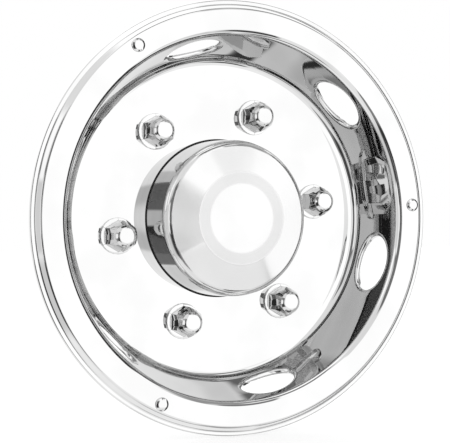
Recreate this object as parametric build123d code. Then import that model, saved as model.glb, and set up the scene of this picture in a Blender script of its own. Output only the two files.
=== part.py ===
from build123d import *
import math
import os

# A dished cover for the face of a six-stud light truck wheel, in millimetres and degrees.
# The wheel's axle lies along Y and the shown face looks along -Y. Z is up.
# The origin is the centre of the stud circle, on the back face of the disc.

# Stud circle. Clock angles run anticlockwise from +X, as seen from the face.
STUD_CIRCLE = 222.25
STUD_COUNT = 6
STUD_CLOCK = 9.0

# Liner sheet
SHEET = 0.9
DISH_DEPTH = 58.0
DISC_RADIUS = 161.0
LIP_RADIUS = 181.0
FLANGE_WIDTH = 23.6
STEP_WIDTH = 5.4
STEP_DEPTH = 4.9
BAND_WIDTH = 4.3
EDGE_RETURN = 4.5
DISC_BEND = 8.0
LIP_BEND = 4.0
LIP_ROLL = 8.5
LIP_TURN = 28.0
LIP_FLAT = 0.1
STEP_BEND = 1.2

# Hand holes in the wall of the dish
HAND_HOLE_COUNT = 6
HAND_HOLE_CLOCK = 44.0
HAND_HOLE_LENGTH = 61.0
HAND_HOLE_WIDTH = 37.0
HAND_HOLE_TURN = 4.6
HAND_HOLE_BEND = 1.5

# Hub cap
HUB_NUT_GAP = 13.5
HUB_DRAFT = 2.2
HUB_SHOULDER_HEIGHT = 44.3
HUB_RING_RADIUS = 45.8
HUB_RING_HEIGHT = 54.7
HUB_FLAT_RADIUS = 34.0
HUB_FLAT_RISE = 0.6
HUB_SHOULDER_BEND = 7.0
HUB_RING_BEND = 0.8
HUB_FLAT_BEND = 60.0
HUB_FOOT_BEND = 0.8
HUB_CLEARANCE = 0.3
HUB_RING_GAP = 5.8

# Lug-nut covers
NUT_FLANGE_RADIUS = 18.1
NUT_FLANGE_EDGE = 1.2
NUT_FLANGE_RISE = 2.4
NUT_HEX = 27.0
NUT_HEX_HEIGHT = 18.2
NUT_CONE = 28.0
NUT_HEIGHT = 27.0
NUT_END_ROUND = 4.0
NUT_NECK_RADIUS = 12.7
NUT_NECK_REACH = 4.0
NUT_BORE_RADIUS = 10.5
NUT_WALL = 2.2
NUT_CLEARANCE = 0.2

# Push-on rings behind the disc
RING_SHEET = 0.6
RING_RIM = 2.6
RING_TOOTH = 2.4
RING_DISH = 1.4
RING_TEETH = 8
RING_SLOT = 1.6
RING_CLEARANCE = 0.08

# Rivets and rim clips on the flange
CLIP_COUNT = 3
CLIP_CLOCK = 4.0
RIVET_HEAD_RADIUS = 6.7
RIVET_HEAD_HEIGHT = 2.8
RIVET_HEAD_EDGE = 0.4
RIVET_SHANK_RADIUS = 2.4
RIVET_TAIL_RADIUS = 4.2
RIVET_TAIL_HEIGHT = 1.6
RIVET_CLEARANCE = 0.1
CLIP_SHEET = 1.2
CLIP_WIDTH = 24.0
CLIP_FOOT = 14.0
CLIP_LEG = 17.0
CLIP_HOOK = 5.5
CLIP_HOOK_RISE = 6.0
CLIP_BEND = 1.6

# Places that follow from the sizes above
DISC_FACE = -SHEET
FLANGE_FACE = DISC_FACE - DISH_DEPTH
FLANGE_BACK = FLANGE_FACE + SHEET
BAND_FACE = FLANGE_FACE + STEP_DEPTH
STEP_RADIUS = LIP_RADIUS + FLANGE_WIDTH
BAND_RADIUS = STEP_RADIUS + STEP_WIDTH
OUTER_RADIUS = BAND_RADIUS + BAND_WIDTH
HUB_BASE_RADIUS = STUD_CIRCLE / 2 - NUT_FLANGE_RADIUS - HUB_NUT_GAP
HUB_HOLE_RADIUS = HUB_BASE_RADIUS + HUB_FOOT_BEND + HUB_CLEARANCE
RING_TOOTH_RADIUS = NUT_NECK_RADIUS + RING_CLEARANCE
RING_RIM_RADIUS = RING_TOOTH_RADIUS + RING_TOOTH
RING_OUTER_RADIUS = RING_RIM_RADIUS + RING_RIM
HUB_FOOT_RADIUS = STUD_CIRCLE / 2 - RING_OUTER_RADIUS - HUB_RING_GAP
LUG_HOLE_RADIUS = NUT_NECK_RADIUS + NUT_CLEARANCE
RIVET_HOLE_RADIUS = RIVET_SHANK_RADIUS + RIVET_CLEARANCE
RIVET_CIRCLE_RADIUS = LIP_RADIUS + 2 * FLANGE_WIDTH / 3
CLIP_OUTER_RADIUS = RIVET_CIRCLE_RADIUS + CLIP_FOOT / 2 - CLIP_SHEET
CLIP_LEG_RADIUS = CLIP_OUTER_RADIUS - CLIP_FOOT


def sheet_section(shown, bends, sheet):
    """Section of an even sheet: its shown face follows the points, its other face lies to their left."""
    points = [Vector(p) for p in shown]
    moves = [(b - a).normalized() for a, b in zip(points, points[1:])]
    sides = [Vector(-m.Y, m.X) for m in moves]
    other = [points[0] + sides[0] * sheet]
    shown_bends = []
    other_bends = []
    for i, bend in enumerate(bends):
        square = sides[i].dot(sides[i + 1])
        other.append(points[i + 1] + (sides[i] + sides[i + 1]) * (sheet / (1 + square)))
        turns_left = moves[i].cross(moves[i + 1]).Z > 0
        shown_bends.append(bend + sheet if turns_left else bend)
        other_bends.append(bend if turns_left else bend + sheet)
    other.append(points[-1] + sides[-1] * sheet)
    outline = [
        FilletPolyline(*points, radius=shown_bends),
        Line(points[-1], other[-1]),
        FilletPolyline(*reversed(other), radius=other_bends[::-1]),
        Line(other[0], points[0]),
    ]
    return make_face(outline)


def around(radius, count, clock, depth=0.0):
    """Planes spaced round the axle at one radius and depth, each looking out of the face with X level."""
    planes = []
    for i in range(count):
        angle = math.radians(clock + 360 * i / count)
        place = (radius * math.cos(angle), depth, radius * math.sin(angle))
        planes.append(Plane(origin=place, x_dir=(1, 0, 0), z_dir=(0, -1, 0)))
    return planes


def turned(*outline):
    """A solid turned about its own Z from an outline of radius and height."""
    return revolve(Plane.XZ * make_face(outline), axis=Axis.Z)


# Wall of the dish, from lip to disc, and its lip: a tight bend at the flange that eases into a wide roll
wall_lip = Vector(LIP_RADIUS, FLANGE_FACE)
wall_disc = Vector(DISC_RADIUS, DISC_FACE)
wall_run = (wall_disc - wall_lip).normalized()
wall_out = Vector(wall_run.Y, -wall_run.X)
wall_middle = (wall_lip + wall_disc) * 0.5
wall_turn = math.atan2(DISH_DEPTH, LIP_RADIUS - DISC_RADIUS)
bend_turn = math.radians(LIP_TURN)
roll_turn = wall_turn - bend_turn
lip_chord = LIP_BEND * math.tan(bend_turn / 2) + LIP_FLAT + LIP_ROLL * math.tan(roll_turn / 2)
lip_flange = lip_chord * math.sin(roll_turn) / math.sin(wall_turn)
lip_wall = lip_chord * math.sin(bend_turn) / math.sin(wall_turn)

# Liner: the pressed section, then its hand holes with turned-back edges, then its round holes
liner_section = sheet_section(
    [
        (HUB_HOLE_RADIUS, DISC_FACE),
        (DISC_RADIUS, DISC_FACE),
        wall_lip + wall_run * lip_wall,
        (LIP_RADIUS + lip_flange, FLANGE_FACE),
        (STEP_RADIUS, FLANGE_FACE),
        (BAND_RADIUS, BAND_FACE),
        (OUTER_RADIUS, BAND_FACE),
        (OUTER_RADIUS, BAND_FACE + EDGE_RETURN),
    ],
    [DISC_BEND, LIP_ROLL, LIP_BEND, STEP_BEND, STEP_BEND, STEP_BEND],
    SHEET,
)
wheel_liner = revolve(liner_section, axis=Axis.Y)

hole_plane = Plane(origin=wall_middle, x_dir=(0, 0, 1), z_dir=wall_out)
reach = HAND_HOLE_LENGTH / 3
hole_cutter = extrude(hole_plane * Ellipse(HAND_HOLE_LENGTH / 2, HAND_HOLE_WIDTH / 2), reach, both=True)
collar_shape = Ellipse(HAND_HOLE_LENGTH / 2 + SHEET, HAND_HOLE_WIDTH / 2 + SHEET)
turn_layer = make_face(
    Polyline(
        wall_lip + wall_out * (SHEET / 2),
        wall_disc + wall_out * (SHEET / 2),
        wall_disc + wall_out * HAND_HOLE_TURN,
        wall_lip + wall_out * HAND_HOLE_TURN,
        close=True,
    )
)
collar = extrude(hole_plane * collar_shape, reach, both=True) & revolve(turn_layer, axis=Axis.Y)
hole_turns = [-(HAND_HOLE_CLOCK + 360 * i / HAND_HOLE_COUNT) for i in range(HAND_HOLE_COUNT)]
wheel_liner += [collar.rotate(Axis.Y, turn) for turn in hole_turns]
wheel_liner -= [hole_cutter.rotate(Axis.Y, turn) for turn in hole_turns]


def wall_curves(solid, depth):
    """The edges round the hand holes at one depth behind the wall's shown face."""
    found = []
    for edge in solid.edges():
        spot = edge @ 0.5
        behind = (Vector(math.hypot(spot.X, spot.Z), spot.Y) - wall_middle).dot(wall_out)
        if edge.geom_type not in (GeomType.LINE, GeomType.CIRCLE) and abs(behind - depth) < 0.001:
            found.append(edge)
    return found


wheel_liner = fillet(wall_curves(wheel_liner, SHEET), HAND_HOLE_BEND)
wheel_liner = fillet(wall_curves(wheel_liner, 0), HAND_HOLE_BEND + SHEET)

lug_planes = around(STUD_CIRCLE / 2, STUD_COUNT, STUD_CLOCK, DISC_FACE)
rivet_planes = around(RIVET_CIRCLE_RADIUS, CLIP_COUNT, CLIP_CLOCK, FLANGE_FACE)
wheel_liner -= [plane.location * Cylinder(LUG_HOLE_RADIUS, 6 * SHEET) for plane in lug_planes]
wheel_liner -= [plane.location * Cylinder(RIVET_HOLE_RADIUS, 6 * SHEET) for plane in rivet_planes]

# Hub cap: a closed cup whose foot lies behind the disc
hub_cap = revolve(
    sheet_section(
        [
            (0, DISC_FACE - HUB_RING_HEIGHT - HUB_FLAT_RISE),
            (HUB_FLAT_RADIUS, DISC_FACE - HUB_RING_HEIGHT - HUB_FLAT_RISE),
            (HUB_RING_RADIUS, DISC_FACE - HUB_RING_HEIGHT),
            (HUB_BASE_RADIUS - HUB_DRAFT, DISC_FACE - HUB_SHOULDER_HEIGHT),
            (HUB_BASE_RADIUS, 0),
            (HUB_FOOT_RADIUS, 0),
        ],
        [HUB_FLAT_BEND, HUB_RING_BEND, HUB_SHOULDER_BEND, HUB_FOOT_BEND],
        SHEET,
    ),
    axis=Axis.Y,
)

# Lug-nut cover: flange, hexagon that runs into a blunt cone, and neck, hollow from behind for the stud's end
hex_corner = NUT_HEX / math.sqrt(3)
flange_top = NUT_FLANGE_EDGE + NUT_FLANGE_RISE
cone_run = math.tan(math.radians(NUT_CONE))
wall_across = NUT_WALL / math.cos(math.radians(NUT_CONE))


def cone_radius(height):
    """Radius of the cone that rounds off the hexagon, which it meets in the middle of each flat."""
    return NUT_HEX / 2 - (height - NUT_HEX_HEIGHT) * cone_run


nut_flange = turned(
    Polyline(
        (0, 0),
        (NUT_FLANGE_RADIUS, 0),
        (NUT_FLANGE_RADIUS, NUT_FLANGE_EDGE),
        (hex_corner, flange_top),
        (0, flange_top),
        close=True,
    )
)
nut_cone = turned(
    Polyline(
        (0, 0),
        (cone_radius(flange_top), 0),
        (cone_radius(flange_top), flange_top),
        (cone_radius(NUT_HEIGHT), NUT_HEIGHT),
        (0, NUT_HEIGHT),
        close=True,
    )
)
nut_cone = fillet(nut_cone.edges().sort_by(Axis.Z)[-1], NUT_END_ROUND)
hexagon = extrude(RegularPolygon(hex_corner, 6, rotation=90), NUT_HEIGHT) & nut_cone
neck_end = -SHEET - NUT_NECK_REACH
nut_neck = Pos(0, 0, neck_end / 2) * Cylinder(NUT_NECK_RADIUS, -neck_end)
bore_end = NUT_HEIGHT - NUT_WALL
bore_step = NUT_HEX_HEIGHT + (NUT_HEX / 2 - wall_across - NUT_BORE_RADIUS) / cone_run
nut_bore = turned(
    Polyline(
        (0, neck_end),
        (NUT_BORE_RADIUS, neck_end),
        (NUT_BORE_RADIUS, bore_step),
        (cone_radius(bore_end) - wall_across, bore_end),
        (0, bore_end),
        close=True,
    )
)
lug_nut = nut_flange + hexagon + nut_neck - nut_bore

# Push-on ring: a flat rim against the disc, with sprung teeth round the neck
lug_retainer = turned(
    Polyline(
        (RING_TOOTH_RADIUS, -RING_DISH),
        (RING_RIM_RADIUS, 0),
        (RING_OUTER_RADIUS, 0),
        (RING_OUTER_RADIUS, -RING_SHEET),
        (RING_RIM_RADIUS, -RING_SHEET),
        (RING_TOOTH_RADIUS, -RING_DISH - RING_SHEET),
        close=True,
    )
)
slot = Pos(RING_TOOTH_RADIUS, 0, -RING_DISH) * Box(1.5 * RING_TOOTH, RING_SLOT, 4 * RING_DISH)
lug_retainer -= [slot.rotate(Axis.Z, 360 * i / RING_TEETH) for i in range(RING_TEETH)]

# Rivet: button head on the flange, shank through flange and clip, tail behind the clip's foot
head_top = RIVET_HEAD_HEIGHT
head_edge = RIVET_HEAD_EDGE
dome_rise = head_top - head_edge
dome_radius = (RIVET_HEAD_RADIUS**2 + dome_rise**2) / (2 * dome_rise)
tail_top = -SHEET - CLIP_SHEET
tail_end = tail_top - RIVET_TAIL_HEIGHT
clip_rivet = turned(
    RadiusArc((0, head_top), (RIVET_HEAD_RADIUS, head_edge), dome_radius),
    Polyline(
        (RIVET_HEAD_RADIUS, head_edge),
        (RIVET_HEAD_RADIUS, 0),
        (RIVET_SHANK_RADIUS, 0),
        (RIVET_SHANK_RADIUS, tail_top),
        (RIVET_TAIL_RADIUS, tail_top),
        (RIVET_TAIL_RADIUS, tail_end),
        (0, tail_end),
        (0, head_top),
    ),
)

# Rim clip: foot behind the flange, leg into the rim, hook that snaps outwards
hook_radius = CLIP_LEG_RADIUS + CLIP_HOOK
leg_end = FLANGE_BACK + CLIP_LEG
clip_section = sheet_section(
    [
        (CLIP_LEG_RADIUS, leg_end + 2 * CLIP_HOOK_RISE),
        (hook_radius, leg_end + CLIP_HOOK_RISE),
        (CLIP_LEG_RADIUS, leg_end),
        (CLIP_LEG_RADIUS, FLANGE_BACK),
        (CLIP_OUTER_RADIUS, FLANGE_BACK),
    ],
    [CLIP_BEND, CLIP_BEND, CLIP_BEND],
    CLIP_SHEET,
)
rim_clip = extrude(clip_section, CLIP_WIDTH / 2, both=True)
rivet_hole = Plane(origin=(RIVET_CIRCLE_RADIUS, FLANGE_BACK, 0), z_dir=(0, 1, 0))
rim_clip -= rivet_hole.location * Cylinder(RIVET_HOLE_RADIUS, 6 * CLIP_SHEET)

# One file for each piece
pieces = {"wheel_liner": wheel_liner, "hub_cap": hub_cap}
for i, plane in enumerate(lug_planes, 1):
    back_plane = Plane(plane.origin + Vector(0, SHEET, 0), x_dir=plane.x_dir, z_dir=plane.z_dir)
    pieces[f"lug_nut_{i}"] = plane.location * lug_nut
    pieces[f"lug_retainer_{i}"] = back_plane.location * lug_retainer
for i, plane in enumerate(rivet_planes, 1):
    turn = -(CLIP_CLOCK + 360 * (i - 1) / CLIP_COUNT)
    pieces[f"clip_rivet_{i}"] = plane.location * clip_rivet
    pieces[f"rim_clip_{i}"] = rim_clip.rotate(Axis.Y, turn)

os.makedirs("parts", exist_ok=True)
for name, piece in pieces.items():
    export_step(piece, f"parts/{name}.step")
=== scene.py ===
import math

import bmesh
import bpy
from mathutils import Matrix, Vector
from mathutils.geometry import tessellate_polygon


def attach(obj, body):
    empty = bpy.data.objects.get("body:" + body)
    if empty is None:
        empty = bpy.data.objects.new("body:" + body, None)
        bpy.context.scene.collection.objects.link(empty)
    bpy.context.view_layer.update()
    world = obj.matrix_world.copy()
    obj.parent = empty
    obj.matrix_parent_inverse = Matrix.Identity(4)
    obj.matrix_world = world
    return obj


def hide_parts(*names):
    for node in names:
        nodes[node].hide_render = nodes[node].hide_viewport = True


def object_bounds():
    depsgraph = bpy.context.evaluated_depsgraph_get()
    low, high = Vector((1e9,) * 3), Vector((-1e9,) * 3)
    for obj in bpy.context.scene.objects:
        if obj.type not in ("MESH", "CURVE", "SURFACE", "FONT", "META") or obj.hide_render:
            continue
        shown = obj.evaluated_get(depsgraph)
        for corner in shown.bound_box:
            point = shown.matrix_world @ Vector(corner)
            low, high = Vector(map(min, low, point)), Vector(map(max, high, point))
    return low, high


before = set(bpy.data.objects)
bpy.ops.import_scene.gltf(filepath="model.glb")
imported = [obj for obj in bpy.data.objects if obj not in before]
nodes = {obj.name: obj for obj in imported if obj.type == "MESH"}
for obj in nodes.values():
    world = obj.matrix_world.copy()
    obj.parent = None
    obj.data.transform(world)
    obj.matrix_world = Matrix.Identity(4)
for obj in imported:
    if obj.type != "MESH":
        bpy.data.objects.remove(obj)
cad_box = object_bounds()

# Sizes of the cover in millimetres and degrees. The axle lies along Y and the face looks along -Y.
# They are those of its CAD, apart from some bends, edges and openings eased towards the photograph.
MM = 0.001

# Stud circle. Clock angles run anticlockwise from +X, as seen from the face.
STUD_CIRCLE = 222.25
STUD_CIRCLE_RADIUS = STUD_CIRCLE / 2
STUD_COUNT = 6
STUD_CLOCK = 9.0

# Liner sheet
SHEET = 0.9
DISH_DEPTH = 58.0
DISC_RADIUS = 161.0
LIP_RADIUS = 181.0
STEP_RADIUS = 204.6
STEP_DEPTH = 4.9
BAND_RADIUS = 209.2
OUTER_RADIUS = 214.3
EDGE_RETURN = 4.5
DISC_BEND = 11.5
LIP_BEND = 1.5
LIP_ROLL = 8.0
LIP_TURN = math.radians(32)
LIP_FLAT = 1.8
STEP_BEND = 3.6
EDGE_BEND = 1.2
DISC_FACE = -SHEET
FLANGE_FACE = DISC_FACE - DISH_DEPTH
BAND_FACE = FLANGE_FACE + STEP_DEPTH

# Hand holes in the wall of the dish
HOLE_COUNT = 6
HOLE_CLOCK = 44.0
HOLE_LENGTH = 57.2
HOLE_WIDTH = 33.2
HOLE_TURN = 4.6
HOLE_BEND = 3.4
SECTOR = 360 / HOLE_COUNT

# Lug-nut covers
NUT_FLANGE_RADIUS = 18.1
NUT_FLANGE_EDGE = 2.2
NUT_FLANGE_TOP = 2.7
NUT_HEX = 27.0
NUT_HEX_HEIGHT = 18.2
NUT_HEX_ROUND = 0.7
NUT_CONE = math.radians(28)
NUT_HEIGHT = 27.0
NUT_END_RADIUS = 7.6
NUT_END_ROUND = 6.0
NUT_SHOULDER_RADIUS = 10.8
NUT_SHOULDER_ROUND = 1.5
NUT_SHOULDER_SLOPE = math.radians(38)
NUT_NECK_RADIUS = 12.7
NUT_NECK_REACH = 4.0
NUT_NECK_END = -SHEET - NUT_NECK_REACH
NUT_BORE_RADIUS = 10.5
NUT_WALL = 2.2
NUT_SOFT_EDGE = 0.35
NUT_CLEARANCE = 0.2
LUG_HOLE_RADIUS = NUT_NECK_RADIUS + NUT_CLEARANCE

# Rivets through the flange and the clips behind it
CLIP_COUNT = 3
CLIP_CLOCK = 4.0
CLIP_SHEET = 1.2
RIVET_CIRCLE_RADIUS = LIP_RADIUS + 2 * (STEP_RADIUS - LIP_RADIUS) / 3
RIVET_HEAD_RADIUS = 6.7
RIVET_HEAD_HEIGHT = 2.8
RIVET_SHANK_RADIUS = 2.4
RIVET_TAIL_RADIUS = 4.2
RIVET_TAIL_HEIGHT = 1.6
RIVET_CLEARANCE = 0.1
RIVET_HOLE_RADIUS = RIVET_SHANK_RADIUS + RIVET_CLEARANCE
RIVET_TAIL_TOP = -SHEET - CLIP_SHEET
RIVET_TAIL_END = RIVET_TAIL_TOP - RIVET_TAIL_HEIGHT
RIVET_HEAD_ARCS = [
    # crown, rim and rounded side: reach, first and last slope
    (4.3, 0, 10),
    (6.2, 27, 32),
    (RIVET_HEAD_RADIUS, 32, 90),
]

# Hub cap. Its foot stays clear of the push-on rings behind the disc.
PUSH_RING_RADIUS = 17.78
HUB_RING_GAP = 5.8
HUB_NUT_GAP = 13.5
HUB_HOLE_GAP = 1.1
HUB_DRAFT = 2.2
HUB_SHOULDER_HEIGHT = 44.3
HUB_RING_RADIUS = 45.8
HUB_RING_HEIGHT = 54.7
HUB_FLAT_RADIUS = 34.0
HUB_FLAT_RISE = 0.6
HUB_FLAT_BEND = 60.0
HUB_RING_BEND = 0.8
HUB_SHOULDER_BEND = 9.5
HUB_FOOT_BEND = 0.8
HUB_BASE_RADIUS = STUD_CIRCLE_RADIUS - NUT_FLANGE_RADIUS - HUB_NUT_GAP
HUB_FOOT_RADIUS = STUD_CIRCLE_RADIUS - PUSH_RING_RADIUS - HUB_RING_GAP
HUB_HOLE_RADIUS = HUB_BASE_RADIUS + HUB_HOLE_GAP
HUB_SHOULDER_RADIUS = HUB_BASE_RADIUS - HUB_DRAFT
HUB_SHOULDER_FACE = DISC_FACE - HUB_SHOULDER_HEIGHT
HUB_RING_FACE = DISC_FACE - HUB_RING_HEIGHT
HUB_FLAT_FACE = HUB_RING_FACE - HUB_FLAT_RISE

# How finely the meshes are cut
ROUND_STEPS = 360
BEND_STEPS = 10
WALL_STEPS = 10
SIDE_STEPS = 16
LOOP_STEPS = 48
SETTLE_ROUNDS = 8
SOFT_EDGE_STEPS = 3
SHARP = math.radians(32)


class Shell:
    """Points and faces of one piece, gathered ring by ring, in millimetres."""

    def __init__(self):
        self.points = []
        self.faces = []

    def ring(self, points):
        first = len(self.points)
        self.points += points
        return list(range(first, len(self.points)))

    def join(self, one, other):
        """A closed band of four-sided faces between two rings."""
        for i in range(len(one)):
            j = (i + 1) % len(one)
            self.faces.append((one[i], one[j], other[j], other[i]))

    def join_all(self, rings):
        for one, other in zip(rings, rings[1:]):
            self.join(one, other)

    def cap(self, ring):
        self.faces.append(tuple(ring))

    def fill(self, *loops):
        """A flat area between an outer loop and the loops inside it. All lie square to the axle."""
        flat = [[Vector((self.points[i][0], self.points[i][2], 0)) for i in loop] for loop in loops]
        numbers = [i for loop in loops for i in loop]
        self.faces += [tuple(numbers[i] for i in corners) for corners in tessellate_polygon(flat)]

    def piece(self, name, place=(0, 0, 0), soft_edge=0.0):
        """The finished object, with smooth faces, crisp cut edges and even flats."""
        mesh = bpy.data.meshes.new(name)
        shift = Vector(place)
        mesh.from_pydata([(Vector(p) + shift) * MM for p in self.points], [], self.faces)
        mesh.validate()
        obj = bpy.data.objects.new(name, mesh)
        bpy.context.scene.collection.objects.link(obj)
        turn_out(mesh)
        mesh.shade_smooth()
        if soft_edge:
            bevel = obj.modifiers.new("soft_edge", "BEVEL")
            bevel.width = soft_edge * MM
            bevel.segments = SOFT_EDGE_STEPS
            bevel.limit_method = "ANGLE"
            bevel.angle_limit = SHARP
            bevel.miter_outer = "MITER_ARC"
        else:
            mesh.set_sharp_from_angle(angle=SHARP)
        even = obj.modifiers.new("even_flats", "WEIGHTED_NORMAL")
        even.keep_sharp = True
        return obj


def turn_out(mesh):
    """Turns every face of a closed mesh to look outwards."""
    work = bmesh.new()
    work.from_mesh(mesh)
    bmesh.ops.recalc_face_normals(work, faces=work.faces)
    work.to_mesh(mesh)
    work.free()


def circle(radius, depth, steps=ROUND_STEPS, clock=0.0, centre=(0, 0)):
    """Points round a line along the axle, anticlockwise from the clock angle as seen from the face."""
    angles = [math.radians(clock + 360 * i / steps) for i in range(steps)]
    return [(centre[0] + radius * math.cos(a), depth, centre[1] + radius * math.sin(a)) for a in angles]


def around(radius, count, clock):
    """Places spaced round the axle, as level and upright distances."""
    angles = [math.radians(clock + 360 * i / count) for i in range(count)]
    return [(radius * math.cos(a), radius * math.sin(a)) for a in angles]


def bent(points, bends, steps=BEND_STEPS):
    """The bends of a line with rounded corners: its first point, one arc for each corner, its last point."""
    arcs = [[points[0]]]
    for before, corner, after, bend in zip(points, points[1:], points[2:], bends):
        into = (corner - before).normalized()
        out = (after - corner).normalized()
        turn = math.atan2(into.x * out.y - into.y * out.x, into.dot(out))
        start = corner - into * (bend * math.tan(abs(turn) / 2))
        centre = start + Vector((-into.y, into.x)) * math.copysign(bend, turn)
        spoke = start - centre
        arcs.append([centre + Matrix.Rotation(turn * i / steps, 2) @ spoke for i in range(steps + 1)])
    arcs.append([points[-1]])
    return arcs


def sheet_bends(shown, bends, sheet=SHEET):
    """The bends of both faces of an even sheet: the shown face, and the other face to its left."""
    points = [Vector(p) for p in shown]
    moves = [(b - a).normalized() for a, b in zip(points, points[1:])]
    sides = [Vector((-m.y, m.x)) for m in moves]
    other = [points[0] + sides[0] * sheet]
    shown_bends = []
    other_bends = []
    for i, bend in enumerate(bends):
        other.append(points[i + 1] + (sides[i] + sides[i + 1]) * (sheet / (1 + sides[i].dot(sides[i + 1]))))
        turns_left = moves[i].x * moves[i + 1].y - moves[i].y * moves[i + 1].x > 0
        shown_bends.append(bend + sheet if turns_left else bend)
        other_bends.append(bend if turns_left else bend + sheet)
    other.append(points[-1] + sides[-1] * sheet)
    return bent(points, shown_bends), bent(other, other_bends)


# The wall of the dish, in its own plane: from lip to disc, and out through the back
wall_lip = Vector((LIP_RADIUS, FLANGE_FACE))
wall_disc = Vector((DISC_RADIUS, DISC_FACE))
wall_middle = (wall_lip + wall_disc) / 2
wall_run = (wall_disc - wall_lip).normalized()
wall_out = Vector((wall_run.y, -wall_run.x))

# The lip: a tight bend at the flange that eases into a wide roll
wall_turn = math.atan2(DISC_FACE - FLANGE_FACE, LIP_RADIUS - DISC_RADIUS)
roll_turn = wall_turn - LIP_TURN
lip_chord = LIP_BEND * math.tan(LIP_TURN / 2) + LIP_FLAT + LIP_ROLL * math.tan(roll_turn / 2)
lip_flange = lip_chord * math.sin(roll_turn) / math.sin(wall_turn)
lip_wall = lip_chord * math.sin(LIP_TURN) / math.sin(wall_turn)


def on_wall(along, down, depth, clock):
    """A point of a hand hole's plane, moved square to it until it lies at a depth behind the wall's face."""
    lift = depth
    for _ in range(SETTLE_ROUNDS):
        spot = wall_middle + wall_run * down + wall_out * lift
        radius = math.hypot(spot.x, along)
        away = Vector((radius, spot.y)) - wall_middle
        lift -= (away.dot(wall_out) - depth) / (wall_out.x**2 * spot.x / radius + wall_out.y**2)
    turn = math.radians(clock)
    level = spot.x * math.cos(turn) - along * math.sin(turn)
    upright = spot.x * math.sin(turn) + along * math.cos(turn)
    return (level, spot.y, upright)


def in_hole_plane(point, clock):
    """Where a point lies along and down the wall from the middle of a hand hole."""
    turn = math.radians(-clock)
    level = point[0] * math.cos(turn) - point[2] * math.sin(turn)
    along = point[0] * math.sin(turn) + point[2] * math.cos(turn)
    return along, (Vector((level, point[1])) - wall_middle).dot(wall_run)


def hole_edge(angle, offset):
    """A point at an offset outside a hand hole's oval, along and down the wall."""
    along, down = math.cos(angle), math.sin(angle)
    out = Vector((along * HOLE_WIDTH, down * HOLE_LENGTH)).normalized()
    return along * HOLE_LENGTH / 2 + out.x * offset, down * HOLE_WIDTH / 2 + out.y * offset


def wall_sector(shell, loop, clock, depth, bend):
    """One sixth of a face of the wall, from its border in to the edge of its hand hole."""
    borders = [in_hole_plane(shell.points[i], clock) for i in loop]
    reach = max(abs(down) for _, down in borders)
    width = max(abs(along) for along, _ in borders)
    angles = [math.atan2(down / reach, along / width) for along, down in borders]
    ring = loop
    for step in range(WALL_STEPS):
        share = 1 - (step + 1) / WALL_STEPS
        points = []
        for angle, (along, down) in zip(angles, borders):
            edge = hole_edge(angle, bend)
            spot = (edge[0] + (along - edge[0]) * share, edge[1] + (down - edge[1]) * share)
            points.append(on_wall(*spot, depth, clock))
        inner = shell.ring(points)
        shell.join(ring, inner)
        ring = inner
    return ring, angles


def sector_loop(shell, disc_ring, lip_ring, columns, number):
    """The border of one sixth of the wall: along the disc, up a side, back along the lip and down."""
    count = ROUND_STEPS // HOLE_COUNT
    span = [(number * count + i) % ROUND_STEPS for i in range(count + 1)]
    right = columns[(number + 1) % HOLE_COUNT]
    left = columns[number]
    return [disc_ring[i] for i in span] + right + [lip_ring[i] for i in reversed(span)] + left[::-1]


def side_columns(shell, disc_ring, lip_ring):
    """The points between disc and lip on the lines that part the sixths of the wall."""
    columns = []
    for number in range(HOLE_COUNT):
        i = number * ROUND_STEPS // HOLE_COUNT
        low, high = Vector(shell.points[disc_ring[i]]), Vector(shell.points[lip_ring[i]])
        columns.append(shell.ring([tuple(low.lerp(high, k / SIDE_STEPS)) for k in range(1, SIDE_STEPS)]))
    return columns


def hole_collar(shell, front, back, front_angles, clock):
    """The turned-back edge of a hand hole, from the wall's face round its end to the wall's back."""
    bend = HOLE_BEND + SHEET
    quarter = [math.radians(90 * i / BEND_STEPS) for i in range(BEND_STEPS + 1)]
    course = [(bend * (1 - math.sin(a)), bend * (1 - math.cos(a))) for a in quarter[1:]]
    course += [(0, HOLE_TURN), (SHEET, HOLE_TURN)]
    course += [(bend - HOLE_BEND * math.cos(a), bend - HOLE_BEND * math.sin(a)) for a in quarter[:-1]]
    rings = [front]
    for offset, depth in course:
        rings.append(shell.ring([on_wall(*hole_edge(a, offset), depth, clock) for a in front_angles]))
    shell.join_all(rings + [back])


def round_holes(shell, radius, depth, centres):
    """The edges of round holes at one depth."""
    return [shell.ring(circle(radius, depth, LOOP_STEPS, centre=centre)) for centre in centres]


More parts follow.
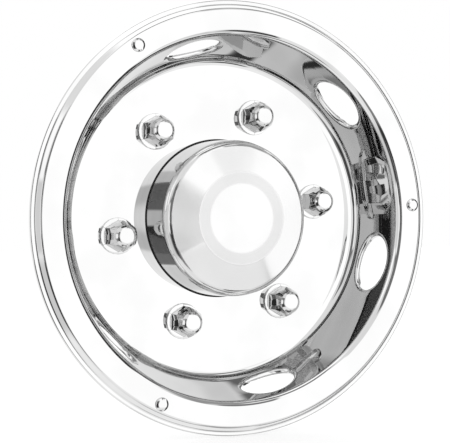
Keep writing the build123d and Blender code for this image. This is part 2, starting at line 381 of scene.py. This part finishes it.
def make_liner():
    """The pressed liner: both faces of the sheet, its holes and its cut edges."""
    shell = Shell()
    section = [
        (HUB_HOLE_RADIUS, DISC_FACE),
        (DISC_RADIUS, DISC_FACE),
        wall_lip + wall_run * lip_wall,
        (LIP_RADIUS + lip_flange, FLANGE_FACE),
        (STEP_RADIUS, FLANGE_FACE),
        (BAND_RADIUS, BAND_FACE),
        (OUTER_RADIUS, BAND_FACE),
        (OUTER_RADIUS, BAND_FACE + EDGE_RETURN),
    ]
    faces = sheet_bends(section, [DISC_BEND, LIP_ROLL, LIP_BEND, STEP_BEND, STEP_BEND, EDGE_BEND])
    lugs = around(STUD_CIRCLE_RADIUS, STUD_COUNT, STUD_CLOCK)
    rivets = around(RIVET_CIRCLE_RADIUS, CLIP_COUNT, CLIP_CLOCK)
    first_clock = HOLE_CLOCK - SECTOR / 2
    ends = []
    holes = []
    hands = []
    for arcs, depth in zip(faces, (0, SHEET)):
        bends = [[shell.ring(circle(p.x, p.y, clock=first_clock)) for p in arc] for arc in arcs]
        for rings in bends:
            shell.join_all(rings)
        disc, wall, lip, flange, step, band, outer = [(a[-1], b[0]) for a, b in zip(bends, bends[1:])]
        lug_loops = round_holes(shell, LUG_HOLE_RADIUS, DISC_FACE + depth, lugs)
        rivet_loops = round_holes(shell, RIVET_HOLE_RADIUS, FLANGE_FACE + depth, rivets)
        shell.fill(disc[1], disc[0], *lug_loops)
        shell.fill(flange[1], flange[0], *rivet_loops)
        for pair in (lip, step, band, outer):
            shell.join(*pair)
        columns = side_columns(shell, *wall)
        loops = [sector_loop(shell, *wall, columns, i) for i in range(HOLE_COUNT)]
        bend = HOLE_BEND + SHEET
        clocks = [HOLE_CLOCK + SECTOR * i for i in range(HOLE_COUNT)]
        hands.append([wall_sector(shell, loop, clock, depth, bend) for loop, clock in zip(loops, clocks)])
        holes.append(lug_loops + rivet_loops)
        ends.append((bends[0][0], bends[-1][-1]))
    for front, back in zip(*ends):
        shell.join(front, back)
    for front, back in zip(*holes):
        shell.join(front, back)
    for number, (front, back) in enumerate(zip(*hands)):
        hole_collar(shell, front[0], back[0], front[1], HOLE_CLOCK + SECTOR * number)
    return shell.piece("liner_polished")


def make_hub_cap():
    """The hub cap: a closed pressed cup with a foot."""
    shell = Shell()
    section = [
        (0, HUB_FLAT_FACE),
        (HUB_FLAT_RADIUS, HUB_FLAT_FACE),
        (HUB_RING_RADIUS, HUB_RING_FACE),
        (HUB_SHOULDER_RADIUS, HUB_SHOULDER_FACE),
        (HUB_BASE_RADIUS, 0),
        (HUB_FOOT_RADIUS, 0),
    ]
    bends = [HUB_FLAT_BEND, HUB_RING_BEND, HUB_SHOULDER_BEND, HUB_FOOT_BEND]
    ends = []
    for arcs in sheet_bends(section, bends):
        rings = [shell.ring(circle(p.x, p.y)) for arc in arcs[1:] for p in arc]
        shell.cap(rings[0])
        shell.join_all(rings)
        ends.append(rings[-1])
    shell.join(*ends)
    return shell.piece("hub_cap_polished")


def rounded_hexagon(flats, rounding, arc_steps=4, flat_steps=4):
    """Points of a hexagon with rounded corners, one of them up, as level and upright distances."""
    points = []
    for corner in range(6):
        middle = math.radians(90 + 60 * corner)
        inset = (flats / 2 - rounding) / math.cos(math.radians(30))
        centre = Vector((math.cos(middle), math.sin(middle))) * inset
        for i in range(arc_steps + 1):
            angle = middle + math.radians(60 * i / arc_steps - 30)
            points.append(centre + Vector((math.cos(angle), math.sin(angle))) * rounding)
        following = middle + math.radians(60)
        next_start = Vector((math.cos(following), math.sin(following))) * inset
        arc_start = following - math.radians(30)
        next_start += Vector((math.cos(arc_start), math.sin(arc_start))) * rounding
        last = points[-1]
        points += [last.lerp(next_start, i / flat_steps) for i in range(1, flat_steps)]
    return points


def make_nut(name, centre):
    """A lug-nut cover: bore, neck, flange, chamfered hexagon and round end. Heights run out of the disc."""
    shell = Shell()
    outline = rounded_hexagon(NUT_HEX, NUT_HEX_ROUND)
    spokes = [p.normalized() for p in outline]

    def level(radius, height):
        return shell.ring([(s.x * radius, -height, s.y * radius) for s in spokes])

    hex_corner = max(p.length for p in outline)
    cone_run = math.tan(NUT_CONE)
    shoulder = NUT_HEIGHT - (NUT_SHOULDER_RADIUS - NUT_END_RADIUS) * math.tan(NUT_SHOULDER_SLOPE)
    hex_top = shoulder - (NUT_HEX / 2 - NUT_SHOULDER_RADIUS) / cone_run
    wall_across = NUT_WALL / math.cos(NUT_CONE)
    bore_end = NUT_HEIGHT - NUT_WALL
    bore_step = NUT_HEX_HEIGHT + (NUT_HEX / 2 - wall_across - NUT_BORE_RADIUS) / cone_run
    bore_top = NUT_HEX / 2 - (bore_end - NUT_HEX_HEIGHT) * cone_run - wall_across
    rings = [
        level(bore_top, bore_end),
        level(NUT_BORE_RADIUS, bore_step),
        level(NUT_BORE_RADIUS, NUT_NECK_END),
        level(NUT_NECK_RADIUS, NUT_NECK_END),
        level(NUT_NECK_RADIUS, 0),
        level(NUT_FLANGE_RADIUS, 0),
        level(NUT_FLANGE_RADIUS, NUT_FLANGE_EDGE),
        level(hex_corner + NUT_SOFT_EDGE, NUT_FLANGE_TOP),
        shell.ring([(p.x, -NUT_FLANGE_TOP, p.y) for p in outline]),
        shell.ring([(p.x, (p.length - NUT_HEX / 2) / cone_run - hex_top, p.y) for p in outline]),
    ]
    end = [
        (NUT_HEX / 2, hex_top),
        (NUT_SHOULDER_RADIUS, shoulder),
        (NUT_END_RADIUS, NUT_HEIGHT),
        (0, NUT_HEIGHT),
    ]
    for arc in bent([Vector(p) for p in end], [NUT_SHOULDER_ROUND, NUT_END_ROUND])[1:-1]:
        rings += [level(point.x, point.y) for point in arc]
    shell.cap(rings[0])
    shell.join_all(rings)
    shell.cap(rings[-1])
    return shell.piece(name, (centre[0], DISC_FACE, centre[1]), NUT_SOFT_EDGE)


def make_rivet(name, centre):
    """A button-head rivet, in heights out of the flange's face."""
    shell = Shell()
    course = []
    radius, height = 0, RIVET_HEAD_HEIGHT
    for reach, first, last in RIVET_HEAD_ARCS:
        slopes = [math.radians(first + (last - first) * i / BEND_STEPS) for i in range(BEND_STEPS + 1)]
        bow = (reach - radius) / (math.sin(slopes[-1]) - math.sin(slopes[0]))
        for slope in slopes[1:]:
            out = bow * (math.sin(slope) - math.sin(slopes[0]))
            down = bow * (math.cos(slopes[0]) - math.cos(slope))
            course.append((radius + out, height - down))
        radius, height = course[-1]
    course += [
        (RIVET_HEAD_RADIUS, 0),
        (RIVET_SHANK_RADIUS, 0),
        (RIVET_SHANK_RADIUS, RIVET_TAIL_TOP),
        (RIVET_TAIL_RADIUS, RIVET_TAIL_TOP),
        (RIVET_TAIL_RADIUS, RIVET_TAIL_END),
    ]
    rings = [shell.ring(circle(radius, -height, LOOP_STEPS)) for radius, height in course]
    shell.cap(rings[0])
    shell.join_all(rings)
    shell.cap(rings[-1])
    return shell.piece(name, (centre[0], FLANGE_FACE, centre[1]))


# The photograph's frame and the camera fitted to it, in pixels and metres. The sensor is in millimetres.
PHOTO_WIDTH = 450
PHOTO_HEIGHT = 443
FOCAL = 1245.0
FLANGE_CENTRE = (243.5, 218.25)
FLANGE_DISTANCE = 1.2186
YAW = math.radians(25.14)
DIP = math.radians(0.28)
SENSOR = 36.0


def add_camera():
    """The photograph's camera: to the left of the axle and almost level with it."""
    ahead = Vector((math.sin(YAW) * math.cos(DIP), math.cos(YAW) * math.cos(DIP), -math.sin(DIP)))
    right = Vector((math.cos(YAW), -math.sin(YAW), 0))
    up = right.cross(ahead)
    across = (FLANGE_CENTRE[0] - PHOTO_WIDTH / 2) / FOCAL * FLANGE_DISTANCE
    above = (PHOTO_HEIGHT / 2 - FLANGE_CENTRE[1]) / FOCAL * FLANGE_DISTANCE
    place = Vector((0, FLANGE_FACE * MM, 0)) - ahead * FLANGE_DISTANCE - right * across - up * above
    data = bpy.data.cameras.new("photo_camera")
    data.sensor_width = SENSOR
    data.lens = FOCAL / PHOTO_WIDTH * SENSOR
    camera = bpy.data.objects.new("photo_camera", data)
    camera.matrix_world = Matrix.Translation(place) @ Matrix((right, up, -ahead)).transposed().to_4x4()
    bpy.context.scene.collection.objects.link(camera)
    bpy.context.scene.camera = camera
    return camera


# The studio round the object: brightness by direction. Bearings are degrees to the right of the way the
# face looks, and heights are degrees above the level. White paper stands round the sides and the back.
# In front of the face the room is dark where no card stands.
PAPER_ANGLE = 62
PAPER_SOFT = 12
PAPER_LOW = 1.3
PAPER_HIGH = 1.6
PAPER_HEIGHT = 60
ROOM = 0.12
CARDS = [
    # from, to bearing; from, to height; soft edge; brightness. Later cards lie over earlier ones.
    (-86, -2, -13, 14, 1.5, 1.0),
    (-56, -4, 18, 60, 4, 1.12),
    (-54, 32, -61, -36, 2, 1.2),
    (-88, -56, 40, 70, 4, 1.15),
    (-88, -60, -44, -15, 4, 0.95),
    (-10, 71, -28, 56, 1, 1.62),
    (-9, 52, -44, -20, 1.5, 1.3),
    (12, 44, 31, 42, 3, 1.42),
    (-14.6, -8, -19, 23, 1, 1.0),
    (-21, -14.6, -19, 18, 1, 1.5),
    (-28, -10.4, -38, -20, 1, 0.32),
    (24, 50, 43, 53, 2, 0.3),
    (24, 46, -53, -44, 2, 0.08),
    (50, 90, 36, 71, 5, 0.45),
    (-30, 60, 62, 72, 3, 0.04),
    (-20, 80, -71, -63, 2, 0.2),
    (71, 97, -60, 38, 1, 0.06),
    (-58, -43, -14, 14, 1.5, 1.4),
    (-42, -29.5, -30, 30, 1, 0.05),
    (-46, -24, 5, 30, 1, 0.25),
    (-46, -24, -30, -5, 1, 0.05),
]


class Nodes:
    """Short ways to add nodes to a tree."""

    def __init__(self, tree):
        self.tree = tree

    def add(self, kind, values=(), **settings):
        """A node with its settings, and values or links for its inputs by name or number."""
        node = self.tree.nodes.new(kind)
        for name, value in settings.items():
            setattr(node, name, value)
        for socket, value in dict(values).items():
            if isinstance(value, bpy.types.NodeSocket):
                self.tree.links.new(value, node.inputs[socket])
            else:
                node.inputs[socket].default_value = value
        return node

    def math(self, operation, *values):
        return self.add("ShaderNodeMath", enumerate(values), operation=operation).outputs[0]

    def ramp(self, value, low, high, start=0.0, end=1.0):
        """A smooth change from start to end while a value goes from low to high."""
        inputs = {"Value": value, "From Min": low, "From Max": high, "To Min": start, "To Max": end}
        return self.add("ShaderNodeMapRange", inputs, interpolation_type="SMOOTHSTEP").outputs["Result"]

    def between(self, value, low, high, soft):
        """One between two limits and nothing outside them."""
        entered = self.ramp(value, low - soft, low + soft)
        left = self.ramp(value, high - soft, high + soft)
        return self.math("SUBTRACT", entered, left)

    def noise(self, place, scale, detail=2.0):
        return self.add("ShaderNodeTexNoise", {"Vector": place, "Scale": scale, "Detail": detail}).outputs[0]

    def swing(self, noise, reach, start, end):
        """A noise spread from start to end, steep enough to get there at a reach from its middle."""
        return self.ramp(noise, 0.5 - reach, 0.5 + reach, start, end)

    def blend(self, share, one, other):
        return self.add("ShaderNodeMix", {0: share, 2: one, 3: other}).outputs[0]


def add_studio():
    """White paper, a dark room and soft cards in the metal, and a white background behind the object."""
    world = bpy.data.worlds.new("studio")
    bpy.context.scene.world = world
    world.use_nodes = True
    world.node_tree.nodes.clear()
    tree = Nodes(world.node_tree)
    sight = tree.add("ShaderNodeTexCoord").outputs["Generated"]
    way = tree.add("ShaderNodeSeparateXYZ", {0: sight}).outputs
    ahead = tree.math("MULTIPLY", way["Y"], -1.0)
    bearing = tree.math("DEGREES", tree.math("ARCTAN2", way["X"], ahead))
    height = tree.math("DEGREES", tree.math("ARCSINE", way["Z"]))
    aside = tree.math("DEGREES", tree.math("ARCCOSINE", ahead))
    paper = tree.ramp(height, -PAPER_HEIGHT, PAPER_HEIGHT, PAPER_LOW, PAPER_HIGH)
    level = tree.blend(tree.ramp(aside, PAPER_ANGLE - PAPER_SOFT, PAPER_ANGLE + PAPER_SOFT), ROOM, paper)
    for left, right, low, high, soft, brightness in CARDS:
        across = tree.between(bearing, left, right, soft)
        upright = tree.between(height, low, high, soft)
        cover = tree.math("MULTIPLY", across, upright)
        level = tree.blend(cover, level, brightness)
    studio = tree.add("ShaderNodeBackground", {"Color": level}).outputs[0]
    white = tree.add("ShaderNodeBackground", {"Color": (1, 1, 1, 1)}).outputs[0]
    seen = tree.add("ShaderNodeLightPath").outputs["Is Camera Ray"]
    mixed = tree.add("ShaderNodeMixShader", {0: seen, 1: studio, 2: white}).outputs[0]
    tree.add("ShaderNodeOutputWorld", {0: mixed})


# The screen and the floor. Lengths are in metres.
SCREEN_WIDTH = 0.17
SCREEN_HEIGHT = 1.1
SCREEN_SETBACK = 0.02
SCREEN_COLOUR = 0.25
FLOOR_SIZE = 12.0
FLOOR_GLOW = 0.72
FLOOR_COLOUR = 0.3


def flat_sheet(name, width, height, place):
    """A flat rectangle in the scene, and the empty node tree of its material."""
    x, y = width / 2, height / 2
    mesh = bpy.data.meshes.new(name)
    mesh.from_pydata([(-x, -y, 0), (x, -y, 0), (x, y, 0), (-x, y, 0)], [], [(0, 1, 2, 3)])
    sheet = bpy.data.objects.new(name, mesh)
    sheet.matrix_world = place
    bpy.context.scene.collection.objects.link(sheet)
    material = bpy.data.materials.new(name)
    material.use_nodes = True
    material.node_tree.nodes.clear()
    mesh.materials.append(material)
    return sheet, Nodes(material.node_tree)


def matt_grey(tree, level):
    return tree.add("ShaderNodeBsdfDiffuse", {"Color": (level, level, level, 1)}).outputs[0]


def add_screen(camera):
    """A screen round the camera, darker than the white paper, which only the metal shows."""
    place = camera.matrix_world @ Matrix.Translation((0, 0, SCREEN_SETBACK))
    screen, tree = flat_sheet("dark_screen", SCREEN_WIDTH, SCREEN_HEIGHT, place)
    screen.visible_camera = False
    screen.visible_diffuse = False
    screen.visible_shadow = False
    tree.add("ShaderNodeOutputMaterial", {0: matt_grey(tree, SCREEN_COLOUR)})


def add_floor():
    """A pale floor under the object's edge: it runs into the background and keeps the object's shadow."""
    floor, tree = flat_sheet("pale_floor", FLOOR_SIZE, FLOOR_SIZE, Matrix.Translation((0, 0, cad_box[0][2])))
    floor.visible_glossy = False
    seen = tree.add("ShaderNodeLightPath").outputs["Is Camera Ray"]
    glow = tree.add("ShaderNodeEmission", {"Strength": tree.math("MULTIPLY", seen, FLOOR_GLOW)}).outputs[0]
    pale = tree.add("ShaderNodeAddShader", {0: glow, 1: matt_grey(tree, FLOOR_COLOUR)}).outputs[0]
    tree.add("ShaderNodeOutputMaterial", {0: pale})


# The metals: noise scales in turns a metre, and how far haze and lines change roughness and brightness
BRIGHT = (0.62, 0.62, 0.62)
DULL = (0.42, 0.42, 0.42)
HAZE_SCALE = 14.0
HAZE_DETAIL = 3.0
HAZE_ROUGHNESS = 0.3
HAZE_TINT = 0.03
NOISE_REACH = 0.2
TINT_REACH = 0.15
GRAIN_SCALE = 900.0
GRAIN_DETAIL = 1.0
WAVE_SCALE = 22.0
WAVE_DETAIL = 0.0
LINE_SCALE = 1800.0
LINE_TINT = 0.025
LINE_STRETCH = 0.8
LINE_TURN = 0.25

# The hub cap's satin ring, its smoother side and the shadow line painted round its seam with the disc.
# Lengths are in millimetres.
SATIN_SOFT = 1.5
SATIN_TINT = 0.9
SATIN_ROUGHNESS = 0.3
SIDE_SOFT = 3.0
SIDE_ROUGHNESS = 0.045
# Where the painted seam shadow lies, and how far it darkens the colour
SEAM_INSIDE = 0.5
SEAM_OUTSIDE = 0.4
SEAM_HEIGHT = 1.5
SEAM_BACK = 0.4
SEAM_SOFT = 0.3
SEAM_SHADOW_TINT = 0.1
SEAM_ROUGHNESS = 0.6


class Surface:
    """What a metal's finishes work on: its nodes, its places, its brightness and its roughness."""

    def __init__(self, material, roughness, grain):
        self.links = material.node_tree.links
        self.shader = material.node_tree.nodes["Principled BSDF"]
        self.tree = Nodes(material.node_tree)
        self.place = self.tree.add("ShaderNodeTexCoord").outputs["Object"]
        self.spot = self.tree.add("ShaderNodeSeparateXYZ", {0: self.place}).outputs
        squares = [self.tree.math("POWER", self.spot[axis], 2.0) for axis in "XZ"]
        self.away = self.tree.math("SQRT", self.tree.math("ADD", *squares))
        haze = self.tree.noise(self.place, HAZE_SCALE, HAZE_DETAIL)
        fine = self.tree.noise(self.place, GRAIN_SCALE, GRAIN_DETAIL)
        least, most = roughness * (1 - HAZE_ROUGHNESS), roughness * (1 + HAZE_ROUGHNESS)
        hazy = self.tree.swing(haze, NOISE_REACH, least, most)
        self.roughness = self.tree.math("ADD", hazy, self.tree.swing(fine, NOISE_REACH, 0.0, grain))
        self.tint = self.tree.swing(haze, TINT_REACH, 1 - HAZE_TINT, 1 + HAZE_TINT)

    def dull(self, area, tint, roughness):
        """Another brightness and roughness over an area."""
        self.tint = self.tree.math("MULTIPLY", self.tint, self.tree.blend(area, 1.0, tint))
        self.roughness = self.tree.blend(area, self.roughness, roughness)

    def feed(self, socket, value):
        self.links.new(value, self.shader.inputs[socket])


def satin_ring(surface):
    """The hub cap's dull ring between its flat and its cone."""
    ring = surface.tree.between(surface.away, HUB_FLAT_RADIUS * MM, HUB_RING_RADIUS * MM, SATIN_SOFT * MM)
    surface.dull(ring, SATIN_TINT, SATIN_ROUGHNESS)


def smooth_side(surface):
    """The hub cap's side, smoother than its turned cone."""
    start = (HUB_SHOULDER_RADIUS - SIDE_SOFT) * MM
    side = surface.tree.ramp(surface.away, start, HUB_SHOULDER_RADIUS * MM)
    surface.roughness = surface.tree.blend(side, surface.roughness, SIDE_ROUGHNESS)


def painted_seam_shadow(surface):
    """A painted shadow line round the hub cap where it comes through the disc: darker, rougher colour that
    stands in for the shade in the gap.
    """
    tree = surface.tree
    inside = (HUB_BASE_RADIUS - SEAM_INSIDE) * MM
    outside = (HUB_BASE_RADIUS - SEAM_OUTSIDE) * MM
    skin = tree.ramp(surface.away, inside, outside)
    # Painted shade: the base colour is darkened in this band, not shaded by light
    band = tree.between(surface.spot["Y"], (DISC_FACE - SEAM_HEIGHT) * MM, SEAM_BACK * MM, SEAM_SOFT * MM)
    surface.dull(tree.math("MULTIPLY", skin, band), SEAM_SHADOW_TINT, SEAM_ROUGHNESS)


def turned_lines(surface):
    """Fine lines round the axle, and highlights drawn out as on turned metal."""
    tree = surface.tree
    radial = tree.add("ShaderNodeCombineXYZ", {0: surface.away}).outputs[0]
    lines = tree.swing(tree.noise(radial, LINE_SCALE), NOISE_REACH, 1 - LINE_TINT, 1 + LINE_TINT)
    surface.tint = tree.math("MULTIPLY", surface.tint, lines)
    surface.feed("Tangent", tree.add("ShaderNodeTangent", direction_type="RADIAL", axis="Y").outputs[0])
    surface.shader.inputs["Anisotropic"].default_value = LINE_STRETCH
    surface.shader.inputs["Anisotropic Rotation"].default_value = LINE_TURN


def metal(name, colour, roughness, grain, wave, finishes=()):
    """A bare metal with haze and grain in its roughness, slow waves in its sheet, and the further finishes
    and painted shade passed in.
    """
    material = bpy.data.materials.new(name)
    material.use_nodes = True
    surface = Surface(material, roughness, grain)
    for finish in finishes:
        finish(surface)
    tree = surface.tree
    slow = tree.noise(surface.place, WAVE_SCALE, WAVE_DETAIL)
    bump = tree.add("ShaderNodeBump", {"Strength": 1.0, "Distance": wave * MM, "Height": slow})
    tinted = tree.add("ShaderNodeVectorMath", {0: colour, "Scale": surface.tint}, operation="SCALE")
    surface.shader.inputs["Metallic"].default_value = 1.0
    surface.feed("Normal", bump.outputs[0])
    surface.feed("Base Color", tinted.outputs[0])
    surface.feed("Roughness", surface.roughness)
    return material


def fit(piece, material, slot, *stands_for):
    """Gives a piece its metal and its place in the part."""
    piece.data.materials.append(material)
    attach(piece, "root")
    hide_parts(*stands_for)


# The metals, with the height of their waves in millimetres
polished = metal("polished_stainless", BRIGHT, roughness=0.012, grain=0.008, wave=0.10)
# The hub cap's finishes, and the shadow line painted at its seam with the disc
hub_finishes_and_shadow = [satin_ring, smooth_side, painted_seam_shadow, turned_lines]
spun = metal("spun_stainless", BRIGHT, roughness=0.10, grain=0.03, wave=0.03, finishes=hub_finishes_and_shadow)
chrome = metal("chrome_plate", BRIGHT, roughness=0.02, grain=0.01, wave=0.0)
spring = metal("spring_steel", DULL, roughness=0.30, grain=0.12, wave=0.05)

# The pieces. The push-on rings and clips keep their CAD meshes.
fit(make_liner(), polished, "polished_stainless", "wheel_liner")
fit(make_hub_cap(), spun, "polished_stainless", "hub_cap")
for i, centre in enumerate(around(STUD_CIRCLE_RADIUS, STUD_COUNT, STUD_CLOCK), 1):
    fit(make_nut(f"lug_cover_{i}", centre), chrome, "chrome_plate", f"lug_nut_{i}")
for i, centre in enumerate(around(RIVET_CIRCLE_RADIUS, CLIP_COUNT, CLIP_CLOCK), 1):
    fit(make_rivet(f"rivet_head_{i}", centre), chrome, "chrome_plate", f"clip_rivet_{i}")
for name, node in nodes.items():
    if name.startswith(("lug_retainer", "rim_clip")):
        for material_slot in node.material_slots:
            material_slot.material = spring

# The studio and the camera
add_studio()
add_floor()
add_screen(add_camera())
bpy.context.scene.view_settings.view_transform = "Standard"
